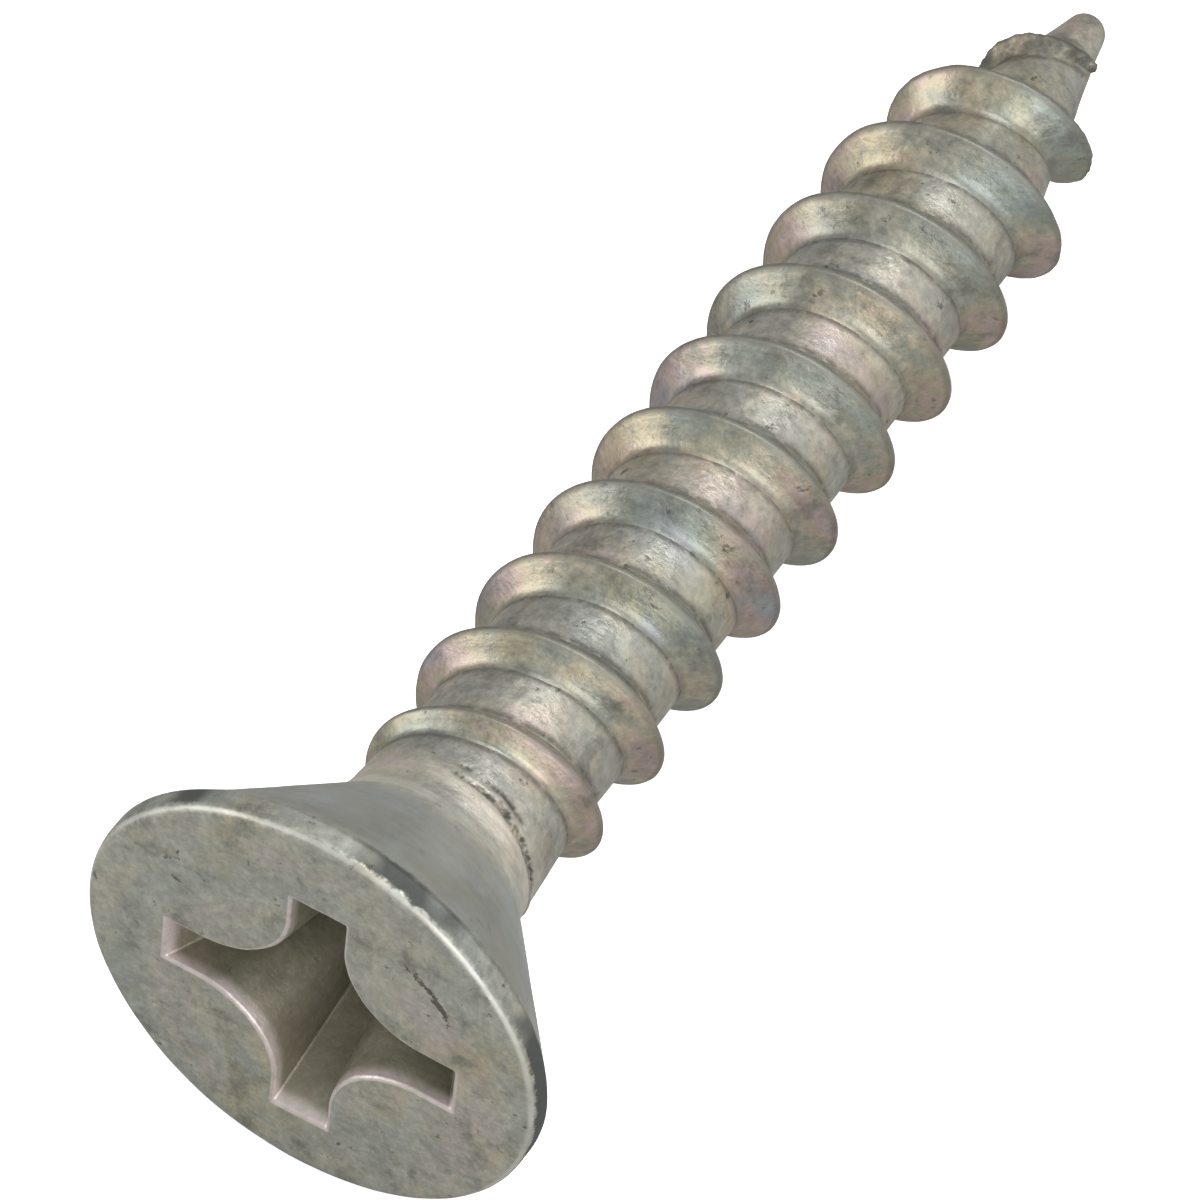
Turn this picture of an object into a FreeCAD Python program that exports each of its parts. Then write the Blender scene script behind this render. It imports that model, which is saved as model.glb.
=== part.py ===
# Countersunk wood screw with a cross recess, cold headed and roll threaded from one length of wire.
# Millimetres. The axis is Y: the flat face of the head is at Y = 0 and the point is at the far end.
import FreeCAD, Part

import math
import os

# Overall sizes, and where the zones of the forging meet.
overall_length = 31.50
head_depth = 4.48
neck_end = 5.80
point_start = 25.42

# Head.
head_radius = 5.28
face_edge_round = 0.23
rim_depth = 0.60
flare_fillet = 1.60

# Neck, thread root and point.
neck_radius = 2.21
root_radius = 2.01
root_start = 7.30
root_radius_at_point = 1.89
point_end_radius = 0.45

# Cross recess in the face.
recess_turn = 4.75
wing_reach = 3.46
wing_half_width = 0.66
wing_side_draft = 4.0
wing_end_draft = 26.5
lobe_radius = 2.00
lobe_radius_at_bottom = 0.89
socket_radius_at_bottom = 1.00
wing_depth = 3.00
recess_depth = 3.50
recess_above = -0.5

# Thread: 11 turns to the inch.
pitch = 25.4 / 11
thread_radius = 2.695
thread_phase = 312.39
crest_width = 0.12
head_flank = 33.0
point_flank = 31.0
run_out_start = 4.75
run_out_start_radius = 2.26
full_thread_start = 8.54
taper_start = 25.47
taper_power = 1.65
thread_end = 30.35
stations_per_turn = 24
fewest_stations = 8

y_axis = FreeCAD.Vector(0, 1, 0)
origin = FreeCAD.Vector(0, 0, 0)


def at_angle(radius, y, degrees):
    """A point at a radius and a distance along the axis, turned from +X towards -Z."""
    turn = math.radians(degrees)
    return FreeCAD.Vector(radius * math.cos(turn), y, -radius * math.sin(turn))


def flat(point):
    """A profile point (radius, distance along the axis) in the XY plane."""
    return FreeCAD.Vector(point[0], point[1], 0)


def line(start, end):
    return Part.makeLine(flat(start), flat(end))


def arc(start, middle, end):
    return Part.Arc(flat(start), flat(middle), flat(end)).toShape()


def revolved(edges):
    """The solid swept by a closed profile about the Y axis."""
    return Part.Face(Part.Wire(edges)).revolve(origin, y_axis, 360)


def circle_point(centre, radius, degrees):
    turn = math.radians(degrees)
    return (centre[0] + radius * math.cos(turn), centre[1] + radius * math.sin(turn))


def point_cone_end():
    """Where the point's cone runs into the small ball at its end."""
    length = overall_length - point_end_radius - point_start
    lean = math.atan2(root_radius_at_point, length)
    lean = lean - math.asin(point_end_radius / math.hypot(root_radius_at_point, length))
    return circle_point((0, overall_length - point_end_radius), point_end_radius, math.degrees(lean))


def blank():
    """The whole forging without its thread and recess: head, flare, neck, root and point."""
    inner = head_radius - face_edge_round
    edge_centre = (inner, face_edge_round)
    slope = math.degrees(math.atan2(head_radius - neck_radius, head_depth - rim_depth))
    run = flare_fillet * math.tan(math.radians(slope / 2))
    flare_centre = (neck_radius + flare_fillet, head_depth + run)
    flare_top = circle_point(flare_centre, flare_fillet, 180 + slope)
    flare_middle = circle_point(flare_centre, flare_fillet, 180 + slope / 2)
    flare_end = circle_point(flare_centre, flare_fillet, 180)
    ball_centre = (0, overall_length - point_end_radius)
    ball_start = point_cone_end()
    ball_lean = math.degrees(math.atan2(ball_start[1] - ball_centre[1], ball_start[0]))
    ball_middle = circle_point(ball_centre, point_end_radius, (ball_lean + 90) / 2)
    tip = (0, overall_length)
    return revolved(
        [
            line((0, 0), (inner, 0)),
            arc((inner, 0), circle_point(edge_centre, face_edge_round, -45), (head_radius, face_edge_round)),
            line((head_radius, face_edge_round), (head_radius, rim_depth)),
            line((head_radius, rim_depth), flare_top),
            arc(flare_top, flare_middle, flare_end),
            line(flare_end, (root_radius, root_start)),
            line((root_radius, root_start), (root_radius_at_point, point_start)),
            line((root_radius_at_point, point_start), ball_start),
            arc(ball_start, ball_middle, tip),
            line(tip, (0, 0)),
        ]
    )


def zone(shape, start, end):
    """The part of a shape between two planes square to the axis."""
    slab = Part.makeCylinder(2 * head_radius, end - start, FreeCAD.Vector(0, start, 0), y_axis)
    return shape.common(slab)


def drafted(width, degrees, depth):
    """What is left of a width once its wall has leaned in down to a depth."""
    return width - depth * math.tan(math.radians(degrees))


def recess_outline(depth):
    """The recess's closed edge at a depth: four straight-sided wings joined by large round lobes."""
    half = drafted(wing_half_width, wing_side_draft, depth)
    reach = drafted(wing_reach, wing_end_draft, depth)
    lobe = lobe_radius + (lobe_radius_at_bottom - lobe_radius) * depth / wing_depth
    centre = half + lobe
    waist = centre - lobe * math.sqrt(0.5)
    edges = []
    for quarter in range(4):
        corners = []
        for along, across in (
            (reach, -half),
            (reach, half),
            (centre, half),
            (waist, waist),
            (half, centre),
            (half, reach),
        ):
            radius = math.hypot(along, across)
            degrees = math.degrees(math.atan2(across, along)) + recess_turn + 90 * quarter
            corners.append(at_angle(radius, depth, degrees))
        edges.append(Part.makeLine(corners[0], corners[1]))
        edges.append(Part.makeLine(corners[1], corners[2]))
        edges.append(Part.Arc(corners[2], corners[3], corners[4]).toShape())
        edges.append(Part.makeLine(corners[4], corners[5]))
    return Part.Wire(edges)


def recess():
    """The cross recess: four tapered wings with round lobes between them and a conical bottom."""
    cutter = Part.makeLoft([recess_outline(recess_above), recess_outline(wing_depth)], True, True)
    base = (socket_radius_at_bottom, wing_depth)
    centre = (0, wing_depth)
    apex = (0, recess_depth)
    cone = revolved([line(centre, base), line(base, apex), line(apex, centre)])
    return cutter.fuse(cone)


def root_at(y):
    """The radius of the body under the thread."""
    if y < root_start:
        along = max(0.0, (y - neck_end) / (root_start - neck_end))
        return neck_radius + (root_radius - neck_radius) * along
    if y < point_start:
        along = (y - root_start) / (point_start - root_start)
        return root_radius + (root_radius_at_point - root_radius) * along
    (ball_radius, ball_start) = point_cone_end()
    along = (y - point_start) / (ball_start - point_start)
    return root_radius_at_point + (ball_radius - root_radius_at_point) * along


def crest_at(y):
    """The radius of the crest: it swells out of the neck and shrinks away along the point."""
    if y > taper_start:
        along = (y - taper_start) / (overall_length - taper_start)
        return thread_radius * (1 - along ** taper_power)
    along = min(1.0, (y - run_out_start) / (full_thread_start - run_out_start))
    swell = thread_radius - run_out_start_radius
    return run_out_start_radius + swell * math.sin(along * math.pi / 2)


def ridge(start, end):
    """The thread between two places along the axis: a wedge wound round the root, seated on it."""
    count = max(fewest_stations, int(round(stations_per_turn * (end - start) / pitch)))
    rails = [[], [], [], [], []]
    for station in range(count + 1):
        y = start + (end - start) * station / count
        turn = thread_phase + 360 * y / pitch
        crest = crest_at(y)
        rise = crest - root_at(y)
        head_foot = y - crest_width / 2 - rise * math.tan(math.radians(head_flank))
        point_foot = y + crest_width / 2 + rise * math.tan(math.radians(point_flank))
        section = [
            (root_at(head_foot), head_foot),
            (crest, y - crest_width / 2),
            (crest, y + crest_width / 2),
            (root_at(point_foot), point_foot),
            (root_at(y), y),
        ]
        for rail, (radius, place) in zip(rails, section):
            rail.append(at_angle(radius, place, turn))
    edges = []
    for rail in rails:
        curve = Part.BSplineCurve()
        curve.interpolate(rail)
        edges.append(curve.toShape())
    faces = []
    for edge, next_edge in zip(edges, edges[1:] + edges[:1]):
        faces.append(Part.makeRuledSurface(edge, next_edge, 1))
    for place in (0, -1):
        corners = [rail[place] for rail in rails]
        faces.append(Part.Face(Part.makePolygon(corners + corners[:1])))
    shell = Part.makeShell(faces)
    shell.sewShape()
    solid = Part.makeSolid(shell)
    if solid.Volume < 0:
        solid.reverse()
    return solid


def write(name, shape):
    shape.exportStep("parts/" + name + ".step")
    print(name, "%.1f mm3" % shape.Volume, "valid" if shape.isValid() else "not valid")


os.makedirs("parts", exist_ok=True)
body = blank()
write("countersunk_head", zone(body, 0, head_depth).cut(recess()))
write("neck", zone(body, head_depth, neck_end))
write("thread_root", zone(body, neck_end, point_start))
write("gimlet_point", zone(body, point_start, overall_length))
write("thread_run_out", ridge(run_out_start, full_thread_start))
write("thread_ridge", ridge(full_thread_start, taper_start))
write("point_thread", ridge(taper_start, thread_end))
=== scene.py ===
# Zinc-plated countersunk wood screw: head, neck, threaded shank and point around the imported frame.
import math

import bpy
import bmesh
import numpy as np
from mathutils import Matrix, Vector, noise


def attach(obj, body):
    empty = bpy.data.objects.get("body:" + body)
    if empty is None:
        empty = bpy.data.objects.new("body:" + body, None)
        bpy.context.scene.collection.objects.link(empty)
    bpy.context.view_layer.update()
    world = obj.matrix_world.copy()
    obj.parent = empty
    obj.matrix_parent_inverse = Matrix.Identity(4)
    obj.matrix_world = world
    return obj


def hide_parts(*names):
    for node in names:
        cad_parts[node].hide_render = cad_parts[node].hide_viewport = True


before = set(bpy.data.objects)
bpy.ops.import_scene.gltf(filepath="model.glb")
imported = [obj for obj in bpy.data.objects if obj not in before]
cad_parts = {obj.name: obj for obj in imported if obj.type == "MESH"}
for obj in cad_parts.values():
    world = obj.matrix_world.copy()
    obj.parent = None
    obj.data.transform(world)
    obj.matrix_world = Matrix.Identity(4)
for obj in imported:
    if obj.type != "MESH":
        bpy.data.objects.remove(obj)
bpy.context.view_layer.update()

mm = 0.001


# Helpers for node trees. A number, a colour or a socket can be given for any value.

def join(tree, value, socket):   # a number or colour is set, a socket is linked
    if isinstance(value, bpy.types.NodeSocket):
        tree.links.new(value, socket)
    else:
        socket.default_value = value


def calc(tree, operation, *values):
    node = tree.nodes.new("ShaderNodeMath")
    node.operation = operation
    for value, socket in zip(values, node.inputs):
        join(tree, value, socket)
    return node.outputs[0]


def plus(tree, first, second):
    return calc(tree, "ADD", first, second)


def minus(tree, first, second):
    return calc(tree, "SUBTRACT", first, second)


def times(tree, first, second):
    return calc(tree, "MULTIPLY", first, second)


def ratio(tree, first, second):
    return calc(tree, "DIVIDE", first, second)


def swing(tree, value, size):   # a 0 to 1 value swung about zero by a size
    return times(tree, minus(tree, value, 0.5), size)


def span(tree, value, low, high, toLow=0, toHigh=1, smooth=True):   # clamped map range
    node = tree.nodes.new("ShaderNodeMapRange")
    node.clamp = True
    if smooth:
        node.interpolation_type = "SMOOTHSTEP"
    for number, socket in zip((value, low, high, toLow, toHigh), node.inputs):
        join(tree, number, socket)
    return node.outputs[0]


def ruled(tree, value, low, high, toLow=0, toHigh=1):   # the same in a straight line
    return span(tree, value, low, high, toLow, toHigh, False)


def vector(tree, x, y, z):
    node = tree.nodes.new("ShaderNodeCombineXYZ")
    for value, socket in zip((x, y, z), node.inputs):
        join(tree, value, socket)
    return node.outputs[0]


def threeParts(tree, coords):
    node = tree.nodes.new("ShaderNodeSeparateXYZ")
    tree.links.new(coords, node.inputs[0])
    return node.outputs


def grain(tree, where, scale, detail, rough):   # noise value, 0 to 1
    node = tree.nodes.new("ShaderNodeTexNoise")
    join(tree, where, node.inputs["Vector"])
    node.inputs["Scale"].default_value = scale
    node.inputs["Detail"].default_value = detail
    node.inputs["Roughness"].default_value = rough
    return node.outputs[0]


def addSockets(tree, inputs, outputs):
    for name, kind, value in inputs:
        socket = tree.interface.new_socket(name, in_out="INPUT", socket_type=kind)
        if value is not None:
            socket.default_value = value
    for name, kind in outputs:
        tree.interface.new_socket(name, in_out="OUTPUT", socket_type=kind)


def ramp(tree, value, stops):   # colour by value, stops are (place, colour)
    node = tree.nodes.new("ShaderNodeValToRGB")
    band = node.color_ramp
    band.elements.remove(band.elements[1])
    band.elements[0].position = stops[0][0]
    band.elements[0].color = (*stops[0][1], 1)
    for place, colour in stops[1:]:
        band.elements.new(place).color = (*colour, 1)
    join(tree, value, node.inputs[0])
    return node.outputs[0]


def blend(tree, amount, first, second, kind="MIX"):
    node = tree.nodes.new("ShaderNodeMix")
    node.data_type = "RGBA"
    node.blend_type = kind
    for value, socket in zip((amount, first, second), (node.inputs[0], node.inputs[6], node.inputs[7])):
        join(tree, value if isinstance(value, (float, bpy.types.NodeSocket)) else (*value, 1), socket)
    return node.outputs[2]


def shaded(tree, colour, level):   # a colour made lighter or darker by a level round 1
    return blend(tree, 1.0, colour, vector(tree, level, level, level), "MULTIPLY")


def mark(tree, name):   # an attribute stored on the mesh
    node = tree.nodes.new("ShaderNodeAttribute")
    node.attribute_name = name
    return node.outputs["Fac"]


def ringCoords(tree, coords, ringRadius):   # coordinates that run slowly round the axis
    x, y, z = threeParts(tree, coords)
    reach = calc(tree, "SQRT", plus(tree, times(tree, x, x), times(tree, z, z)))
    reach = calc(tree, "MAXIMUM", reach, 0.01 * mm)
    ringX = times(tree, ratio(tree, x, reach), ringRadius)
    ringZ = times(tree, ratio(tree, z, reach), ringRadius)
    return vector(tree, ringX, y, plus(tree, ringZ, reach))


# Zinc bloom, shared by the three finishes. Each grain is (scale, detail, roughness), each ramp of a grain is
# (from, to, lowest, highest), and the ring radii are in metres.
bloomLook = dict(
    filmRing=0.0011, film=(640, 3, 0.5), sheenTurn=66, sheenBias=0.1, freckle=(2600, 3, 0.6), freckleSwing=0.22,
    tints=[(0.24, (0.33, 0.37, 0.41)), (0.34, (0.31, 0.37, 0.33)), (0.42, (0.36, 0.37, 0.31)),
           (0.49, (0.43, 0.41, 0.34)), (0.55, (0.54, 0.47, 0.33)), (0.61, (0.57, 0.43, 0.36)),
           (0.68, (0.55, 0.41, 0.41)), (0.76, (0.40, 0.38, 0.48)), (0.84, (0.36, 0.41, 0.38))],
    cloud=(420, 4, 0.6), ochre=(0.51, 0.44, 0.28), ochreRamp=(0.50, 0.70, 0, 0.55),
    slate=(0.33, 0.36, 0.34), slateRamp=(0.48, 0.30, 0, 0.50),
    soot=(900, 5, 0.7), bruise=(0.22, 0.225, 0.20), bruiseRamp=(0.51, 0.67, 0, 0.65),
    speckle=(5200, 4, 0.7), speckleSwing=1.25, patch=(1500, 5, 0.65), patchSwing=1.0,
    streakRing=0.0003, streak=(4500, 4, 0.6), streakShade=0.55,
    drawn=(900, 5, 0.6), lineWide=0.014, broken=(700, 2, 0.5), brokenRamp=(0.48, 0.62), lineShare=0.5,
    lineColour=(0.15, 0.14, 0.12), lineDark=0.55,
    rag=(3400, 5, 0.62), pitted=(1100, 2, 0.5), pittedRamp=(0.45, 0.68, 0, 0.10), pitRamp=(0.665, 0.765),
    pitColour=(0.09, 0.085, 0.075), pitDark=0.8, patchRough=0.30, speckleRough=0.25,
    fine=(9500, 3, 0.6), dent=(1300, 4, 0.55), streakHigh=0.016, pitDeep=0.005, lineDeep=0.006)


def makeZincBloom():   # passivated zinc: film tints with painted sheen at the sides, mottling, pits and drawn lines
    tree = bpy.data.node_groups.new("zincBloom", "ShaderNodeTree")
    number = "NodeSocketFloat"
    addSockets(tree,
               [("Plate", "NodeSocketColor", (0.4, 0.4, 0.36, 1)), ("Bloom", number, 0.5),
                ("Mottle", number, 0.5), ("Pits", number, 0.5), ("Lines", number, 0.5),
                ("Grain", number, 0.004), ("Dents", number, 0.02), ("Swing", number, 0.0)],
               [("Color", "NodeSocketColor"), ("Rough", number), ("Height", number)])
    b = bloomLook
    ins = tree.nodes.new("NodeGroupInput").outputs
    outs = tree.nodes.new("NodeGroupOutput").inputs
    coords = tree.nodes.new("ShaderNodeTexCoord").outputs["Object"]
    ring = ringCoords(tree, coords, b["filmRing"])

    film = grain(tree, ring, *b["film"])
    x, y, z = threeParts(tree, coords)   # the film tint runs pink at two sides of the shank and green between; this also paints sheen, lighter at the two sides and darker between
    turn = calc(tree, "ARCTAN2", times(tree, z, -1), x)
    sheenSway = calc(tree, "COSINE", times(tree, plus(tree, turn, math.radians(b["sheenTurn"])), 2))
    film = minus(tree, film, times(tree, plus(tree, sheenSway, b["sheenBias"]), ins["Swing"]))
    film = plus(tree, film, swing(tree, grain(tree, coords, *b["freckle"]), b["freckleSwing"]))
    colour = blend(tree, ins["Bloom"], ins["Plate"], ramp(tree, film, b["tints"]))

    cloud = grain(tree, coords, *b["cloud"])
    colour = blend(tree, span(tree, cloud, *b["ochreRamp"]), colour, b["ochre"])
    colour = blend(tree, span(tree, cloud, *b["slateRamp"]), colour, b["slate"])
    soot = grain(tree, coords, *b["soot"])   # dull grey bruises
    colour = blend(tree, span(tree, soot, *b["bruiseRamp"]), colour, b["bruise"])

    speckle = grain(tree, coords, *b["speckle"])
    patch = grain(tree, coords, *b["patch"])
    shade = plus(tree, swing(tree, speckle, b["speckleSwing"]), swing(tree, patch, b["patchSwing"]))
    streak = minus(tree, grain(tree, ringCoords(tree, coords, b["streakRing"]), *b["streak"]), 0.5)
    shade = plus(tree, 1.0, times(tree, shade, ins["Mottle"]))
    shade = plus(tree, shade, times(tree, streak, times(tree, ins["Lines"], b["streakShade"])))
    colour = shaded(tree, colour, shade)

    drawn = grain(tree, ring, *b["drawn"])
    line = span(tree, calc(tree, "ABSOLUTE", minus(tree, drawn, 0.5)), 0, b["lineWide"], 1, 0)
    line = times(tree, line, span(tree, grain(tree, coords, *b["broken"]), *b["brokenRamp"]))
    line = times(tree, line, times(tree, ins["Lines"], b["lineShare"]))
    rag = grain(tree, coords, *b["rag"])
    pitted = ruled(tree, grain(tree, coords, *b["pitted"]), *b["pittedRamp"])
    pit = times(tree, span(tree, plus(tree, rag, pitted), *b["pitRamp"]), ins["Pits"])
    colour = blend(tree, times(tree, line, b["lineDark"]), colour, b["lineColour"])
    colour = blend(tree, times(tree, pit, b["pitDark"]), colour, b["pitColour"])
    tree.links.new(colour, outs["Color"])

    rough = plus(tree, swing(tree, patch, b["patchRough"]), swing(tree, speckle, b["speckleRough"]))
    tree.links.new(rough, outs["Rough"])
    height = times(tree, grain(tree, coords, *b["fine"]), ins["Grain"])
    height = plus(tree, height, times(tree, grain(tree, coords, *b["dent"]), ins["Dents"]))
    height = plus(tree, height, times(tree, times(tree, streak, ins["Lines"]), b["streakHigh"]))
    height = minus(tree, height, times(tree, pit, b["pitDeep"]))
    height = minus(tree, height, times(tree, line, b["lineDeep"]))
    tree.links.new(height, outs["Height"])
    return tree


# What is laid over the bloom. Each step changes the skin's colour, rough and height in turn.
creaseShadeLook = dict(rag=(3000, 4, 0.65), ramp=(0.30, 0.55, 0.25, 1), colour=(0.085, 0.08, 0.07), dark=0.88,
                 dull=0.35)


def addCreaseShade(tree, skin):   # painted shade, laid down in grooves and beside the thread
    g = creaseShadeLook
    skin["rag"] = grain(tree, skin["coords"], *g["rag"])
    creaseShade = times(tree, mark(tree, "creaseShade"), span(tree, skin["rag"], *g["ramp"]))
    skin["colour"] = blend(tree, times(tree, creaseShade, g["dark"]), skin["colour"], g["colour"])
    skin["rough"] = plus(tree, skin["rough"], times(tree, creaseShade, g["dull"]))
    skin["creaseShade"] = creaseShade


neckHighlightLook = dict(ragged=0.5, ring=0.0006, wipe=(1800, 4, 0.65), ramp=(0.34, 0.60, 0.25, 0.92),
                  colour=(0.73, 0.68, 0.59), polish=0.05)


def addNeckHighlight(tree, skin, low, full, whole, past):   # painted highlight: a bright cream band round the neck, also a little less rough
    t = neckHighlightLook
    y = ratio(tree, threeParts(tree, skin["coords"])[1], mm)
    y = plus(tree, y, swing(tree, skin["rag"], t["ragged"]))
    neckHighlight = times(tree, span(tree, y, low, full), span(tree, y, past, whole))
    wipe = grain(tree, ringCoords(tree, skin["coords"], t["ring"]), *t["wipe"])
    neckHighlight = times(tree, neckHighlight, span(tree, wipe, *t["ramp"]))
    neckHighlight = times(tree, neckHighlight, minus(tree, 1, skin["creaseShade"]))
    # painted highlight on the neck
    skin["colour"] = blend(tree, neckHighlight, skin["colour"], t["colour"])
    skin["rough"] = minus(tree, skin["rough"], times(tree, neckHighlight, t["polish"]))


threadWearAndShadeLook = dict(ragged=0.10, foot=(0.20, 0.04), footShadeColour=(0.15, 0.145, 0.12), crestShadeBand=(0.78, 0.93),
                crestShadeColour=(0.20, 0.195, 0.17), dull=0.25, flankLines=5.5, roundLines=260, lines=(1.0, 4, 0.6),
                tailFrom=0.0278, tailFull=0.0290, tail=(1500, 5, 0.7), tailRamp=(0.74, 0.36, 0, 0.9),
                tailColour=(0.12, 0.12, 0.105), tailDull=0.2)


def addThreadWearAndShade(tree, skin, look):   # painted shade darkening the crest and the foot, both rougher there; lines drawn by the roll; folded last turn
    w = threadWearAndShadeLook
    crest = mark(tree, "crest")
    near = plus(tree, crest, swing(tree, skin["rag"], w["ragged"]))
    # painted shade along the foot and along the crest of the ridge
    foot = span(tree, near, *w["foot"], 0, look["footShade"])
    crestShadeBand = span(tree, near, *w["crestShadeBand"], 0, look["crestShade"])
    colour = blend(tree, foot, skin["colour"], w["footShadeColour"])
    colour = blend(tree, crestShadeBand, colour, w["crestShadeColour"])
    rough = plus(tree, skin["rough"], times(tree, plus(tree, foot, crestShadeBand), w["dull"]))
    x, y, z = threeParts(tree, skin["coords"])
    rolled = vector(tree, times(tree, crest, w["flankLines"]), times(tree, x, w["roundLines"]),
                    times(tree, z, w["roundLines"]))
    rolled = minus(tree, grain(tree, rolled, *w["lines"]), 0.5)
    colour = shaded(tree, colour, plus(tree, 1.0, times(tree, rolled, look["rolled"])))
    skin["height"] = plus(tree, skin["height"], times(tree, rolled, look["rolledDeep"]))
    tail = span(tree, y, w["tailFrom"], w["tailFull"])
    tail = times(tree, tail, span(tree, grain(tree, skin["coords"], *w["tail"]), *w["tailRamp"]))
    skin["colour"] = blend(tree, tail, colour, w["tailColour"])
    skin["rough"] = plus(tree, rough, times(tree, tail, w["tailDull"]))


# Marks of the head, in mm. The nick lies on the face; a painted dark band of shade and a painted highlight
# along the edge run round the rim.
headLook = dict(
    rag=(4200, 4, 0.7), nickBow=0.28, nickRagged=4.5, nickEdge=(0.95, 0.45), nickDown=(0.4, 0.2),
    nickDark=0.8, nickColour=(0.07, 0.06, 0.055), nickDeep=0.03, ragged=0.35,
    rimShadeTop=(0.12, 0.24), rimShadeEnd=(0.84, 0.62), rimShade=(260, 3, 0.6), rimShadeRamp=(0.40, 0.56, 0.25, 1.0),
    rimShadeColour=(0.10, 0.105, 0.10), rimShadeDull=0.25,
    flareTop=(0.55, 0.95, 0, 0.8), flareEnd=(4.35, 3.55, 0.1, 1), cloudy=(260, 4, 0.6),
    cloudyRamp=(0.36, 0.64), turnedRing=0.0004, turned=(3200, 5, 0.65), turnedLow=0.80, turnedSwing=0.40,
    slopeDark=(0.27, 0.275, 0.24), slopePale=(0.39, 0.42, 0.42),
    rimHighlightStart=(0.035, 0.065), rimHighlightEnd=(0.15, 0.11), edge=(700, 4, 0.6), rimHighlightRamp=(0.35, 0.60, 0.2, 0.8),
    rimHighlightColour=(0.70, 0.69, 0.64), mouthToShadeDeep=(0.13, 0.40), wallRamp=(0.30, 0.60, 0.55, 0.90),
    litMouthColour=(0.80, 0.71, 0.69), shadedWallColour=(0.315, 0.29, 0.22))


def addNick(tree, skin, rag, place, nick):   # one ragged bent nick
    h = headLook
    x, y, z = place
    nickX, nickZ, nickLong, nickWide, nickTurn = nick
    cosine, sine = math.cos(math.radians(nickTurn)), math.sin(math.radians(nickTurn))
    fromX, fromZ = minus(tree, x, nickX), minus(tree, z, nickZ)
    along = plus(tree, times(tree, fromX, cosine), times(tree, fromZ, sine))
    aside = minus(tree, times(tree, fromZ, cosine), times(tree, fromX, sine))
    aside = plus(tree, aside, times(tree, times(tree, along, along), h["nickBow"]))
    far = plus(tree, calc(tree, "POWER", ratio(tree, along, nickLong), 2),
               calc(tree, "POWER", ratio(tree, aside, nickWide), 2))
    far = plus(tree, calc(tree, "SQRT", far), swing(tree, rag, h["nickRagged"]))
    cut = times(tree, span(tree, far, *h["nickEdge"]), ruled(tree, y, *h["nickDown"]))
    skin["colour"] = blend(tree, times(tree, cut, h["nickDark"]), skin["colour"], h["nickColour"])
    skin["height"] = minus(tree, skin["height"], times(tree, cut, h["nickDeep"]))


def addHeadMarks(tree, skin, nick):
    h = headLook
    coords = skin["coords"]
    place = [ratio(tree, socket, mm) for socket in threeParts(tree, coords)]
    y = place[1]
    rag = grain(tree, coords, *h["rag"])
    addNick(tree, skin, rag, place, nick)
    raggedY = plus(tree, y, swing(tree, rag, h["ragged"]))
    wall = mark(tree, "punched")
    outside = minus(tree, 1, wall)

    flare = span(tree, raggedY, *h["flareTop"])
    flare = times(tree, flare, span(tree, raggedY, *h["flareEnd"]))
    cloudy = span(tree, grain(tree, coords, *h["cloudy"]), *h["cloudyRamp"])
    turned = grain(tree, ringCoords(tree, coords, h["turnedRing"]), *h["turned"])
    turned = plus(tree, h["turnedLow"], times(tree, turned, h["turnedSwing"]))
    slope = shaded(tree, blend(tree, cloudy, h["slopeDark"], h["slopePale"]), turned)
    colour = blend(tree, times(tree, flare, outside), skin["colour"], slope)

    # painted shade: a ragged dark band round the rim, also rougher
    rimShade = times(tree, span(tree, raggedY, *h["rimShadeTop"]), span(tree, raggedY, *h["rimShadeEnd"]))
    rimShade = times(tree, rimShade, span(tree, grain(tree, coords, *h["rimShade"]), *h["rimShadeRamp"]))
    rimShade = times(tree, rimShade, outside)
    colour = blend(tree, rimShade, colour, h["rimShadeColour"])
    skin["rough"] = plus(tree, skin["rough"], times(tree, rimShade, h["rimShadeDull"]))
    # painted highlight: a bright band on the rounded edge of the face
    edge = times(tree, ruled(tree, y, *h["rimHighlightStart"]), ruled(tree, y, *h["rimHighlightEnd"]))
    edge = times(tree, edge, ruled(tree, grain(tree, coords, *h["edge"]), *h["rimHighlightRamp"]))
    colour = blend(tree, times(tree, edge, outside), colour, h["rimHighlightColour"])

    punched = times(tree, wall, span(tree, rag, *h["wallRamp"]))   # painted light, pink-white, on the mouth of the recess; painted shade, drab, deeper down its walls
    inside = blend(tree, span(tree, y, *h["mouthToShadeDeep"]), h["litMouthColour"], h["shadedWallColour"])
    skin["colour"] = blend(tree, punched, colour, inside)


# The three finishes. A neck highlight is where the painted bright band on the neck starts, is full, starts to
# fade and ends, in mm.
# A nick is (x, z, length, width, turn in degrees) on the face, in mm.
neckHighlightPlace = (3.7, 4.5, 5.1, 5.7)
# Swing sets how much painted sheen lightens the two sides of the shank and darkens its middle.
finish = {
    "face": dict(plate=(0.475, 0.49, 0.44), bloom=0.30, mottle=0.80, pits=1.0, lines=0.18, grain=0.007,
                 dents=0.038, swing=0.01, metallic=0.62, rough=0.46, neckHighlight=neckHighlightPlace,
                 nick=(2.98, 2.25, 0.85, 0.11, -52)),
    "shank": dict(plate=(0.415, 0.40, 0.36), bloom=0.32, mottle=0.80, pits=1.0, lines=0.45, grain=0.010,
                  dents=0.036, swing=0.015, metallic=0.74, rough=0.455, neckHighlight=neckHighlightPlace),
    "thread": dict(plate=(0.385, 0.385, 0.34), bloom=0.68, mottle=0.75, pits=0.8, lines=0.25, grain=0.008,
                   dents=0.028, swing=0.080, metallic=0.76, rough=0.41, crestShade=0.62, footShade=0.45,
                   rolled=0.20, rolledDeep=0.007),
}


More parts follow.
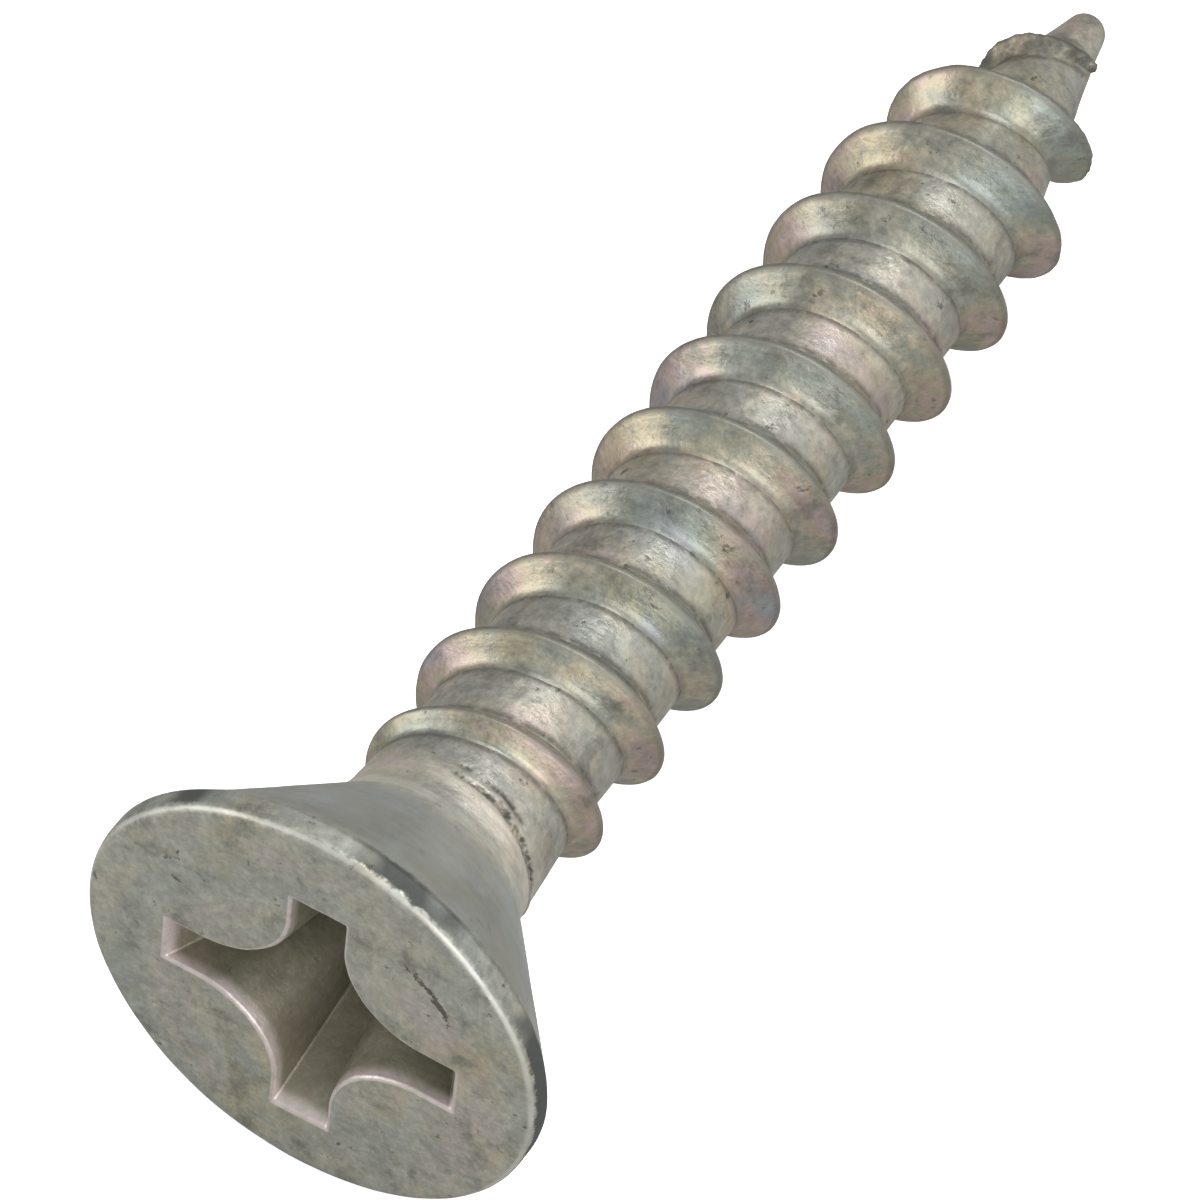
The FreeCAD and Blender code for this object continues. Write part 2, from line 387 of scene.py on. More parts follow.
def makeZinc(name, look, bloomTree):
    material = bpy.data.materials.new(name)
    material.use_nodes = True
    tree = material.node_tree
    shader = tree.nodes["Principled BSDF"]
    bloom = tree.nodes.new("ShaderNodeGroup")
    bloom.node_tree = bloomTree
    bloom.inputs["Plate"].default_value = (*look["plate"], 1)
    for effect in ("Bloom", "Mottle", "Pits", "Lines", "Grain", "Dents", "Swing"):
        bloom.inputs[effect].default_value = look[effect.lower()]
    skin = dict(colour=bloom.outputs["Color"], height=bloom.outputs["Height"],
                rough=plus(tree, bloom.outputs["Rough"], look["rough"]),
                coords=tree.nodes.new("ShaderNodeTexCoord").outputs["Object"])
    addCreaseShade(tree, skin)
    if "neckHighlight" in look:
        addNeckHighlight(tree, skin, *look["neckHighlight"])
    if "crestShade" in look:
        addThreadWearAndShade(tree, skin, look)
    if "nick" in look:
        addHeadMarks(tree, skin, look["nick"])
    tree.links.new(skin["colour"], shader.inputs["Base Color"])
    shader.inputs["Metallic"].default_value = look["metallic"]
    tree.links.new(skin["rough"], shader.inputs["Roughness"])
    bump = tree.nodes.new("ShaderNodeBump")
    bump.inputs["Strength"].default_value = 1.0
    bump.inputs["Distance"].default_value = mm
    tree.links.new(skin["height"], bump.inputs["Height"])
    tree.links.new(bump.outputs["Normal"], shader.inputs["Normal"])
    return material


zincBloom = makeZincBloom()
zinc = {name: makeZinc(name + "Zinc", look, zincBloom) for name, look in finish.items()}
print("zinc finishes made")


# Sizes of the plain forging and of its thread, in mm and degrees. Distances are along the axis from the face.
body = dict(headRadius=5.28, edgeRound=0.23, rimDepth=0.60, headDepth=4.48, flareFillet=1.60, neckRadius=2.21,
            neckEnd=5.80, rootStart=7.30, rootRadius=2.01, pointStart=25.42, rootAtPoint=1.89,
            ballRadius=0.45, length=31.50)

thread = dict(pitch=25.4 / 11, phase=math.radians(312.39), radius=2.68, crestWidth=0.10, headFlank=33.0,
              pointFlank=31.0, runOutStart=4.75, runOutRadius=2.26, fullStart=8.54, taperStart=25.47,
              taperPower=1.65, end=30.35)

# How the forging is uneven: slow and quick waves, stronger towards the tip. Each tip pair is (from, full).
uneven = dict(dent=0.011, slow=0.35, slowHigh=1.5, slowShift=3.1, quick=1.1, quickHigh=0.9, quickShift=7.7,
              lastTurn=(27.5, 30.0), lastTurnMore=2.2, tip=(30.2, 31.2), tipMore=3.0)

# Where the thread dies it bites into the neck: a raised bead and a ragged groove, turns in degrees.
neckScar = dict(near=(4.0, 6.2), firstTurn=-105, lastTurn=8, fadeIn=35, fadeOut=14, grooveY=5.27, fall=0.0048,
                kink=-55, grooveDeep=0.060, grooveWide=0.085, faint=0.35, strongTurns=(-75, -40),
                deepLow=0.8, deepSwing=0.9, beadBack=0.42, beadHigh=0.018, beadWide=0.20, secondUp=0.26,
                secondDeep=0.014, secondTurns=(-20, -45), ragY=0.05, rag=(0.16, 2.0, 3.0),
                fineRag=(0.55, 5.0, 6.0), fineShare=0.7, grooveShadeDeep=0.017)

# Painted shade in the corner between the root and the flanks.
cornerShade = dict(out=0.14, wide=0.10, strong=0.8, rise=(0.02, 0.25))


def bodyRadius(y):
    b = body
    slope = math.atan2(b["headRadius"] - b["neckRadius"], b["headDepth"] - b["rimDepth"])
    run = b["flareFillet"] * math.tan(slope / 2)
    centreY = b["headDepth"] + run
    filletTop = centreY - b["flareFillet"] * math.sin(slope)
    if y < b["rimDepth"]:
        return b["headRadius"]
    if y < filletTop:
        return b["headRadius"] - (y - b["rimDepth"]) * math.tan(slope)
    if y < centreY:
        return b["neckRadius"] + b["flareFillet"] - math.sqrt(b["flareFillet"] ** 2 - (centreY - y) ** 2)
    if y < b["rootStart"]:
        done = (y - centreY) / (b["rootStart"] - centreY)
        return b["neckRadius"] + (b["rootRadius"] - b["neckRadius"]) * done
    if y < b["pointStart"]:
        done = (y - b["rootStart"]) / (b["pointStart"] - b["rootStart"])
        return b["rootRadius"] + (b["rootAtPoint"] - b["rootRadius"]) * done
    coneLength = b["length"] - b["ballRadius"] - b["pointStart"]
    lean = math.atan2(b["rootAtPoint"], coneLength)
    lean -= math.asin(b["ballRadius"] / math.hypot(b["rootAtPoint"], coneLength))
    ballTop = b["length"] - b["ballRadius"] + b["ballRadius"] * math.sin(lean)
    if y < ballTop:
        return b["rootAtPoint"] - (y - b["pointStart"]) * math.tan(lean)
    return math.sqrt(max(0.0, b["ballRadius"] ** 2 - (y - b["length"] + b["ballRadius"]) ** 2))


def easedStep(value, low, high):
    done = min(1.0, max(0.0, (value - low) / (high - low)))
    return done * done * (3 - 2 * done)


def hump(off, wide):   # a smooth rise of height 1
    return math.exp(-(off / wide) ** 2)


def waver(x, y, z):
    u = uneven
    slow = noise.noise(Vector((x * u["slow"] + u["slowShift"], y * u["slow"], z * u["slow"])))
    quick = noise.noise(Vector((x * u["quick"], y * u["quick"] + u["quickShift"], z * u["quick"])))
    return slow * u["slowHigh"] + quick * u["quickHigh"]


def scarRag(turn, y, perTurn, seed, perY):
    return noise.noise(Vector((turn * perTurn, seed, y * perY)))


def scarLift(x, y, z):   # bead and groove at the end of the neck
    s = neckScar
    turn = math.degrees(math.atan2(-z, x))
    if not s["near"][0] < y < s["near"][1] or not s["firstTurn"] < turn < s["lastTurn"]:
        return 0.0
    fade = easedStep(turn, s["firstTurn"], s["firstTurn"] + s["fadeIn"])
    fade *= easedStep(turn, s["lastTurn"], s["lastTurn"] - s["fadeOut"])
    ragged = scarRag(turn, y, *s["rag"]) + s["fineShare"] * scarRag(turn, y, *s["fineRag"])
    place = s["grooveY"] - s["fall"] * max(0.0, turn - s["kink"]) + s["ragY"] * ragged
    strong = s["faint"] + (1 - s["faint"]) * easedStep(turn, *s["strongTurns"])
    groove = s["grooveDeep"] * strong * (s["deepLow"] + s["deepSwing"] * ragged)
    groove *= hump(y - place, s["grooveWide"])
    second = s["secondDeep"] * (1 + ragged) * hump(y - place - s["secondUp"], s["grooveWide"])
    second *= easedStep(turn, *s["secondTurns"])
    bead = s["beadHigh"] * hump(y - place + s["beadBack"], s["beadWide"])
    return fade * (bead - groove - second)


# Painted shade, 0 to 1, in the corner where the thread's flanks meet the root.
def threadFootShade(x, y, z):
    t, d = thread, cornerShade
    if not t["runOutStart"] < y < t["end"]:
        return 0.0
    turn = math.atan2(-z, x) - t["phase"]
    crestY = turn / (2 * math.pi) * t["pitch"]
    crestY += round((y - crestY) / t["pitch"]) * t["pitch"]
    off = y - crestY
    done = min(1.0, max(0.0, (crestY - t["runOutStart"]) / (t["fullStart"] - t["runOutStart"])))
    swell = (t["radius"] - t["runOutRadius"]) * math.sin(math.pi / 2 * done)
    fade = max(0.0, (crestY - t["taperStart"]) / (body["length"] - t["taperStart"])) ** t["taperPower"]
    rise = (t["runOutRadius"] + swell) * (1 - fade) - bodyRadius(crestY)
    flank = t["headFlank"] if off < 0 else t["pointFlank"]
    foot = t["crestWidth"] / 2 + max(0.0, rise) * math.tan(math.radians(flank)) + d["out"]
    return d["strong"] * hump(abs(off) - foot, d["wide"]) * easedStep(rise, *d["rise"])


def forged(x, y, z):   # how far the forging stands off the plain turned shape at a place
    u = uneven
    rougher = 1 + u["lastTurnMore"] * easedStep(y, *u["lastTurn"]) + u["tipMore"] * easedStep(y, *u["tip"])
    return u["dent"] * waver(x, y, z) * rougher + scarLift(x, y, z)


def gridNormals(grid):   # outward normals of a grid of rings, from the neighbours of each point
    along = np.gradient(grid, axis=0)
    around = np.roll(grid, -1, axis=1) - np.roll(grid, 1, axis=1)
    normals = np.cross(along, around)
    normals /= np.maximum(np.linalg.norm(normals, axis=2, keepdims=True), 1e-12)
    return normals


def outward(normals, grid, ring):   # the same normals, turned if those of one ring point at the axis
    return -normals if np.sum(normals[ring] * grid[ring] * (1, 0, 1)) < 0 else normals


def closedPiece(name, grid, normals, caps, material, node, marks):
    rings, count = grid.shape[:2]
    points = [tuple(p) for p in (grid.reshape(-1, 3) * mm)]
    vertexNormals = [tuple(n) for n in normals.reshape(-1, 3)]
    faces = []
    for i in range(rings - 1):
        for j in range(count):
            k = (j + 1) % count
            faces.append((i * count + j, i * count + k, (i + 1) * count + k, (i + 1) * count + j))
    for cap, base in zip(caps, (0, (rings - 1) * count)):
        points.append(tuple(np.array(cap) * mm))
        vertexNormals.append((0.0, -1.0 if base == 0 else 1.0, 0.0))
        centre = len(points) - 1
        for j in range(count):
            k = (j + 1) % count
            faces.append((base + k, base + j, centre) if base == 0 else (base + j, base + k, centre))
    mesh = bpy.data.meshes.new(name)
    mesh.from_pydata(points, [], faces)
    mesh.update()
    edit = bmesh.new()
    edit.from_mesh(mesh)
    if edit.calc_volume(signed=True) < 0:
        bmesh.ops.reverse_faces(edit, faces=edit.faces[:])
    edit.to_mesh(mesh)
    edit.free()
    mesh.polygons.foreach_set("use_smooth", [True] * len(mesh.polygons))
    mesh.normals_split_custom_set_from_vertices(vertexNormals)
    for title, values in marks.items():
        layer = mesh.attributes.new(title, "FLOAT", "POINT")
        layer.data.foreach_set("value", [float(v) for v in values.reshape(-1)] + [0.0, 0.0])
    piece = bpy.data.objects.new(name, mesh)
    bpy.context.scene.collection.objects.link(piece)
    mesh.materials.append(material)
    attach(piece, "root")
    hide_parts(node)


# Neck, thread root and point: how far apart the rings stand, in mm, and how many there are.
shank = dict(around=256, lead=0.02, neckStep=0.025, rootStep=0.062, tipLength=0.9, tipRings=24,
             tipHole=0.0004)


def bodyRing(y):   # one ring of points round the axis, with its painted shade
    radius = bodyRadius(y)
    ring, ringShade = [], []
    for step in range(shank["around"]):
        turn = 2 * math.pi * step / shank["around"]
        x, z = math.cos(turn), -math.sin(turn)
        r = radius + forged(x * radius, y, z * radius) * min(1.0, radius)
        ring.append((x * r, y, z * r))
        # painted shade beside the thread and in the neck groove, 0 to 1
        ringShade.append(min(1.0, threadFootShade(x, y, z) + max(0.0, -scarLift(x, y, z)) / neckScar["grooveShadeDeep"]))
    return ring, ringShade


def shankHeights():
    b, s = body, shank
    heights = [b["headDepth"] - s["lead"]]
    y = b["headDepth"]
    while y < b["length"] - s["tipLength"]:
        heights.append(y)
        y += s["neckStep"] if y < b["neckEnd"] else s["rootStep"]
    for step in range(s["tipRings"] + 1):
        heights.append(b["length"] - s["tipLength"] * math.cos(math.pi / 2 * step / s["tipRings"]))
    heights = sorted(set([round(y, 5) for y in heights] + [b["neckEnd"], b["pointStart"]]))
    heights[-1] = b["length"] - s["tipHole"]
    return heights


def makeShank():
    b = body
    heights = shankHeights()
    rings = [bodyRing(y) for y in heights]
    grid = np.array([ring for ring, ringShade in rings])
    creaseShade = np.array([ringShade for ring, ringShade in rings])
    normals = outward(gridNormals(grid), grid, len(heights) // 2)
    cuts = [b["headDepth"], b["neckEnd"], b["pointStart"], b["length"]]
    zones = [("plainNeck", "neck"), ("threadRoot", "thread_root"), ("gimletPoint", "gimlet_point")]
    for (name, node), low, high in zip(zones, cuts, cuts[1:]):
        keep = [i for i, y in enumerate(heights) if low - 1e-6 <= y <= high + 1e-6]
        caps = ((0, heights[keep[0]], 0), (0, min(high, b["length"]), 0))
        closedPiece(name, grid[keep], normals[keep], caps, zinc["shank"], node,
                    {"creaseShade": creaseShade[keep]})


makeShank()
print("neck, root and point made")


# Head with its cross recess. Drafts and turns are in degrees, and steps and rings are counts of points.
head = dict(recessTurn=4.75, recessDrop=-0.20, wingReach=3.43, wingHalf=0.64, wingSideDraft=4.0,
            wingEndDraft=26.5, lobeRound=2.0, lobeShrink=0.37, wingCorner=0.07, wingDepth=3.00,
            recessDepth=3.50, lip=0.085, endSteps=14, cornerSteps=6, sideSteps=16, lobeSteps=50,
            floorShares=(0.05, 0.2, 0.4, 0.6, 0.8, 0.93), wallRings=40, lipRings=6, faceRings=40,
            edgeRings=8, rimRings=6, flareRings=59, seamHeights=(0.08, 0.06, 0.04, 0.02, 0, -0.02),
            seamStart=0.1,
            faceDent=0.013, faceFade=0.3, faceShift=(5, 2), punchDent=0.02, punchAcross=2.2, punchDown=0.9,
            rimSwell=0.09, swellSide=0.7071, swellDown=(1.6, 0.3), swellOut=(3.8, 4.8))
head["around"] = 4 * (head["endSteps"] + 2 * head["cornerSteps"] + 2 * head["sideSteps"] + head["lobeSteps"])


def spread(first, last, count):
    return [(first[0] + (last[0] - first[0]) * i / count, first[1] + (last[1] - first[1]) * i / count)
            for i in range(count)]


def bow(centre, radius, startTurn, endTurn, count):
    turns = [math.radians(startTurn + (endTurn - startTurn) * i / count) for i in range(count)]
    return [(centre[0] + radius * math.cos(t), centre[1] + radius * math.sin(t)) for t in turns]


def recessOutline(depth, grow=0.0):   # four wings joined by round lobes, with as many points at any depth
    h = head
    reach = h["wingReach"] - depth * math.tan(math.radians(h["wingEndDraft"])) + grow
    half = h["wingHalf"] - depth * math.tan(math.radians(h["wingSideDraft"])) + grow
    lobe = h["lobeRound"] - depth * h["lobeShrink"] - grow
    c = h["wingCorner"]
    ring = []
    for quarter in range(4):
        path = spread((reach, -half + c), (reach, half - c), h["endSteps"])
        path += bow((reach - c, half - c), c, 0, 90, h["cornerSteps"])
        path += spread((reach - c, half), (half + lobe, half), h["sideSteps"])
        path += bow((half + lobe, half + lobe), lobe, 270, 180, h["lobeSteps"])
        path += spread((half, half + lobe), (half, reach - c), h["sideSteps"])
        path += bow((half - c, reach - c), c, 0, 90, h["cornerSteps"])
        turn = math.radians(h["recessTurn"] + 90 * quarter)
        for x, z in path:
            ring.append((x * math.cos(turn) - z * math.sin(turn),
                         -(x * math.sin(turn) + z * math.cos(turn)) + h["recessDrop"]))
    return np.array(ring)


def circleRing(radius):
    first = (head["endSteps"] / 2) / head["around"]   # the outline starts at the side of a wing's end
    turn = 2 * math.pi * (np.arange(head["around"]) / head["around"] - first)
    turn += math.radians(head["recessTurn"])
    return np.stack([radius * np.cos(turn), -radius * np.sin(turn)], 1)


def recessRings():   # from the floor of the recess up to its rolled lip, each (points in X and Z, Y)
    h = head
    rings = []
    bottom = recessOutline(h["wingDepth"])
    centre = np.array([0, h["recessDrop"]])
    for out in h["floorShares"]:
        depth = h["recessDepth"] - (h["recessDepth"] - h["wingDepth"]) * out
        rings.append((centre + (bottom - centre) * out, depth))
    for depth in np.linspace(h["wingDepth"], h["lip"], h["wallRings"]):
        rings.append((recessOutline(depth), depth))
    for step in range(1, h["lipRings"] + 1):
        turn = math.pi / 2 * step / h["lipRings"]
        depth = h["lip"] * (1 - math.sin(turn))
        rings.append((recessOutline(depth, h["lip"] * (1 - math.cos(turn))), depth))
    return rings


def faceRings(inner):   # from the lip out over the face, round its edge and down the flare
    h, b = head, body
    rings = []
    outer = circleRing(b["headRadius"] - b["edgeRound"])
    for out in np.linspace(0, 1, h["faceRings"] + 1)[1:]:
        rings.append((inner * (1 - out) + outer * out, 0.0))
    for step in range(1, h["edgeRings"] + 1):
        turn = math.pi / 2 * step / h["edgeRings"]
        rings.append((circleRing(b["headRadius"] - b["edgeRound"] * (1 - math.sin(turn))),
                      b["edgeRound"] * (1 - math.cos(turn))))
    heights = list(np.linspace(b["edgeRound"], b["rimDepth"], h["rimRings"] + 1)[1:])
    heights += list(np.linspace(b["rimDepth"], b["headDepth"] - h["seamStart"], h["flareRings"] + 1)[1:])
    heights += [b["headDepth"] - y for y in h["seamHeights"]]
    return rings + [(circleRing(bodyRadius(y)), y) for y in heights]


def forgedHeadPoint(x, y, z, inRecess):   # where a point of the plain head ends up
    h = head
    r = max(math.hypot(x, z), 1e-6)
    swell = max(0.0, (z - x) / r * h["swellSide"]) ** 2 * h["rimSwell"]
    swell *= easedStep(y, *h["swellDown"]) * easedStep(r, *h["swellOut"])
    out = forged(x, y, z) + swell
    if inRecess:
        punch = Vector((x * h["punchAcross"], y * h["punchDown"], z * h["punchAcross"]))
        out += h["punchDent"] * noise.noise(punch)
    out *= min(1.0, r)
    onFace = min(1.0, max(0.0, 1 - y / h["faceFade"]))
    dent = onFace * h["faceDent"] * (1 + waver(z + h["faceShift"][0], x, y + h["faceShift"][1]))
    return x + x / r * out, y + dent, z + z / r * out


def makeHead():
    h = head
    rings = recessRings()
    inside = len(rings) - 3   # the lip's last rings belong to the face
    rings += faceRings(rings[-1][0])
    grid = np.zeros((len(rings), h["around"], 3))
    for i, (ring, y) in enumerate(rings):
        for j, (x, z) in enumerate(ring):
            grid[i, j] = forgedHeadPoint(x, y, z, i < inside)
    punched = np.zeros(grid.shape[:2])
    punched[:inside + 2] = 1.0
    rim = int(np.argmax(grid[:, 0, 0] ** 2 + grid[:, 0, 2] ** 2))
    normals = outward(gridNormals(grid), grid, rim)
    caps = ((0, h["recessDepth"], h["recessDrop"]), (0, body["headDepth"], 0))
    closedPiece("countersunkHead", grid[:-1], normals[:-1], caps, zinc["face"], "countersunk_head",
                {"punched": punched[:-1], "creaseShade": punched[:-1] * 0})


makeHead()
print("head made")


# Thread, wound round the root by a node tree. Sizes are in mm, and each grain is (scale, detail, roughness).
# Most columns of the sheet run over the ridge, and those past overShare run back under it.
winding = dict(perTurn=150, across=48, sink=0.045, fillet=0.20, footReach=0.28, crestSoft=0.075, groove=0.02,
               grooveWide=0.03, wander=0.045, pointWander=0.09, lumps=0.06, pointLumps=0.26, neckFlat=0.56,
               least=0.02, drift=(0.8, 2, 0.5), driftAlong=0.9, crestWander=2.0, sideWander=0.8,
               overShare=0.86, overLast=0.8601, underLast=0.9999, crowd=1.45, filletRamp=(0, 0.7, 0.3, 1),
               lump=(2.4, 3, 0.6), lumpRound=2, lumpRamp=(27.0, 29.2, 0.25, 1), underDrop=0.02, weld=0.0008)


def makeWindingTree():
    tree = bpy.data.node_groups.new("woundThread", "GeometryNodeTree")
    number = "NodeSocketFloat"
    addSockets(tree,
               [("Start", number, 8.5), ("End", number, 25.5), ("Pitch", number, 2.3), ("Phase", number, 0.0),
                ("Thread Radius", number, 2.7), ("Groove", number, 0.03), ("Wander", number, 0.05),
                ("Fillet", number, 0.15), ("Lumps", number, 0.05), ("Stations", "NodeSocketInt", 100),
                ("Across", "NodeSocketInt", 40), ("Finish", "NodeSocketMaterial", None)],
               [("Geometry", "NodeSocketGeometry")])
    t, b, w = thread, body, winding
    ins = tree.nodes.new("NodeGroupInput").outputs
    outs = tree.nodes.new("NodeGroupOutput").inputs

    def op(operation, *values):
        return calc(tree, operation, *values)

    def line(value, *ends):
        return ruled(tree, value, *ends)

    sheet = tree.nodes.new("GeometryNodeMeshGrid")
    sheet.inputs["Size X"].default_value = 1
    sheet.inputs["Size Y"].default_value = 1
    tree.links.new(op("ADD", ins["Stations"], 2), sheet.inputs["Vertices X"])
    tree.links.new(ins["Across"], sheet.inputs["Vertices Y"])
    place = threeParts(tree, tree.nodes.new("GeometryNodeInputPosition").outputs[0])
    row = op("MULTIPLY", op("ADD", place[0], 0.5), op("ADD", ins["Stations"], 1))
    lastRow = op("ADD", ins["Stations"], 0.5)
    between = op("MULTIPLY", op("GREATER_THAN", row, 0.5), op("LESS_THAN", row, lastRow))   # end rows close
    done = line(row, 1, ins["Stations"])
    crestY = op("ADD", ins["Start"], op("MULTIPLY", done, op("SUBTRACT", ins["End"], ins["Start"])))
    angle = op("ADD", op("MULTIPLY", op("DIVIDE", crestY, ins["Pitch"]), 2 * math.pi), ins["Phase"])
    cosine, sine = op("COSINE", angle), op("SINE", angle)

    def rootAt(y):   # radius of the body under the thread
        coneEnd = b["length"] - b["ballRadius"]
        first = line(y, b["headDepth"] + w["neckFlat"], b["rootStart"], b["neckRadius"], b["rootRadius"])
        second = line(y, b["rootStart"], b["pointStart"], 0, b["rootRadius"] - b["rootAtPoint"])
        third = line(y, b["pointStart"], coneEnd, 0, b["rootAtPoint"] - bodyRadius(coneEnd))
        return op("SUBTRACT", op("SUBTRACT", first, second), third)

    # Height of the crest: it swells out of the neck, shrinks along the point and wanders a little.
    swell = op("SINE", line(crestY, t["runOutStart"], t["fullStart"], 0, math.pi / 2))
    fade = op("POWER", line(crestY, t["taperStart"], b["length"]), t["taperPower"])
    lowCrest = op("SUBTRACT", ins["Thread Radius"], t["runOutRadius"])
    crest = op("ADD", t["runOutRadius"], op("MULTIPLY", lowCrest, swell))
    crest = op("MULTIPLY", crest, op("SUBTRACT", 1, fade))
    drift = grain(tree, vector(tree, cosine, op("MULTIPLY", crestY, w["driftAlong"]), sine), *w["drift"])
    drift = op("MULTIPLY", op("SUBTRACT", drift, 0.5), ins["Wander"])
    crest = op("ADD", crest, op("MULTIPLY", drift, w["crestWander"]))
    rise = op("MAXIMUM", op("SUBTRACT", crest, rootAt(crestY)), w["least"])

    # Across the ridge: a wedge with a soft crest and a fillet at its foot.
    across = op("ADD", place[1], 0.5)
    side = op("SUBTRACT", line(across, 0, w["overShare"], -1, 1), line(across, w["overShare"], 1, 0, 2))
    eased = op("MULTIPLY", op("SIGN", side), op("POWER", op("ABSOLUTE", side), w["crowd"]))
    tanHead, tanPoint = math.tan(math.radians(t["headFlank"])), math.tan(math.radians(t["pointFlank"]))
    lean = op("ADD", tanHead, op("MULTIPLY", op("GREATER_THAN", eased, 0), tanPoint - tanHead))
    wide = op("ADD", t["crestWidth"] / 2 + w["footReach"], op("MULTIPLY", rise, lean))
    off = op("MULTIPLY", eased, wide)
    away = op("SUBTRACT", op("ABSOLUTE", off), t["crestWidth"] / 2)
    soft = op("SQRT", op("ADD", op("MULTIPLY", away, away), w["crestSoft"] ** 2))
    away = op("MULTIPLY", op("ADD", away, soft), 0.5)
    sharp = op("SUBTRACT", rise, op("DIVIDE", away, lean))
    fillet = op("MULTIPLY", ins["Fillet"], line(rise, *w["filletRamp"]))   # smaller where the ridge is low
    soft = op("SQRT", op("ADD", op("MULTIPLY", sharp, sharp), op("MULTIPLY", fillet, fillet)))
    stand = op("MULTIPLY", op("ADD", sharp, soft), 0.5)
    wedge = op("MINIMUM", op("DIVIDE", stand, rise), 1)
    lastColumn = op("GREATER_THAN", across, w["underLast"])   # it meets the first one
    onTop = op("MAXIMUM", op("LESS_THAN", across, w["overLast"]), lastColumn)

    # The groove pressed along the crest, the lumps left by the roll, and each point's place.
    seam = op("EXPONENT", op("MULTIPLY", op("POWER", op("DIVIDE", off, w["grooveWide"]), 2), -1))
    seam = op("MULTIPLY", seam, ins["Groove"])
    lump = vector(tree, op("MULTIPLY", cosine, w["lumpRound"]), op("ADD", crestY, off),
                  op("MULTIPLY", sine, w["lumpRound"]))
    lump = op("MULTIPLY", op("SUBTRACT", grain(tree, lump, *w["lump"]), 0.5), ins["Lumps"])
    lump = op("MULTIPLY", op("MULTIPLY", lump, wedge), line(crestY, *w["lumpRamp"]))
    lift = op("MULTIPLY", op("ADD", op("SUBTRACT", stand, seam), lump), onTop)
    y = op("ADD", crestY, op("MULTIPLY", off, between))
    y = op("ADD", y, op("MULTIPLY", op("MULTIPLY", drift, between), op("MULTIPLY", wedge, w["sideWander"])))
    radius = op("SUBTRACT", op("ADD", rootAt(y), op("MULTIPLY", lift, between)), w["sink"])
    drop = op("MULTIPLY", op("SUBTRACT", 1, onTop), w["underDrop"])
    radius = op("SUBTRACT", radius, op("MULTIPLY", drop, between))
    where = vector(tree, op("MULTIPLY", radius, cosine), y, op("MULTIPLY", radius, op("MULTIPLY", sine, -1)))
    small = tree.nodes.new("ShaderNodeVectorMath")
    small.operation = "SCALE"
    tree.links.new(where, small.inputs[0])
    small.inputs["Scale"].default_value = mm

    store = tree.nodes.new("GeometryNodeStoreNamedAttribute")
    store.data_type = "FLOAT"
    store.domain = "POINT"
    store.inputs["Name"].default_value = "crest"
    tree.links.new(sheet.outputs["Mesh"], store.inputs["Geometry"])
    tree.links.new(op("MULTIPLY", wedge, onTop), store.inputs["Value"])
    move = tree.nodes.new("GeometryNodeSetPosition")
    tree.links.new(store.outputs["Geometry"], move.inputs["Geometry"])
    tree.links.new(small.outputs[0], move.inputs["Position"])
    weld = tree.nodes.new("GeometryNodeMergeByDistance")
    weld.inputs["Distance"].default_value = w["weld"] * mm
    tree.links.new(move.outputs[0], weld.inputs["Geometry"])
    real = tree.nodes.new("GeometryNodeRealizeInstances")
    tree.links.new(weld.outputs[0], real.inputs[0])
    paint = tree.nodes.new("GeometryNodeSetMaterial")
    tree.links.new(real.outputs[0], paint.inputs["Geometry"])
    tree.links.new(ins["Finish"], paint.inputs["Material"])
    tree.links.new(paint.outputs[0], outs["Geometry"])
    return tree


windingTree = makeWindingTree()
creaseTurn = math.radians(50)   # sharper edges than this stay sharp


def windThread(name, start, end, wander, lumps, node):
    holder = bpy.data.objects.new(name + "Holder", bpy.data.meshes.new(name + "Holder"))
    bpy.context.scene.collection.objects.link(holder)
    winder = holder.modifiers.new("winding", "NODES")
    winder.node_group = windingTree
    values = {"Start": start, "End": end, "Pitch": thread["pitch"], "Phase": thread["phase"],
              "Thread Radius": thread["radius"], "Groove": winding["groove"], "Wander": wander,
              "Fillet": winding["fillet"], "Lumps": lumps,
              "Stations": int(winding["perTurn"] * (end - start) / thread["pitch"]) + 2,
              "Across": winding["across"], "Finish": zinc["thread"]}
    for item in windingTree.interface.items_tree:
        if item.in_out == "INPUT":
            winder[item.identifier] = values[item.name]
    holder.update_tag()
    bpy.context.view_layer.update()
    graph = bpy.context.evaluated_depsgraph_get()
    mesh = bpy.data.meshes.new_from_object(holder.evaluated_get(graph), depsgraph=graph)
    mesh.name = name
    bpy.data.objects.remove(holder)
    edit = bmesh.new()
    edit.from_mesh(mesh)
    bmesh.ops.recalc_face_normals(edit, faces=edit.faces[:])
    for edge in edit.edges:
        if len(edge.link_faces) == 2 and edge.calc_face_angle(0) > creaseTurn:
            edge.smooth = False
    openEdges = sum(1 for edge in edit.edges if not edge.is_manifold)
    edit.to_mesh(mesh)
    edit.free()
    mesh.polygons.foreach_set("use_smooth", [True] * len(mesh.polygons))
    piece = bpy.data.objects.new(name, mesh)
    bpy.context.scene.collection.objects.link(piece)
    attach(piece, "root")
    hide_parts(node)
    print(name, len(mesh.polygons), "faces,", openEdges, "open edges")


t, w = thread, winding
windThread("threadRunOut", t["runOutStart"], t["fullStart"], w["wander"], w["lumps"], "thread_run_out")
windThread("threadRidge", t["fullStart"], t["taperStart"], w["wander"], w["lumps"], "thread_ridge")
windThread("pointThread", t["taperStart"], t["end"], w["pointWander"], w["pointLumps"], "point_thread")


# Floor, light and camera. The screw rests on its rim and on its thread at crestY, both in mm.
paperFloor = dict(size=4.0, rimY=0.6, crestY=25.4, gap=0.02, rough=0.9, paper=(0.95, 0.95, 0.95),
                  bounce=(0.36, 0.36, 0.35), glow=0.61)


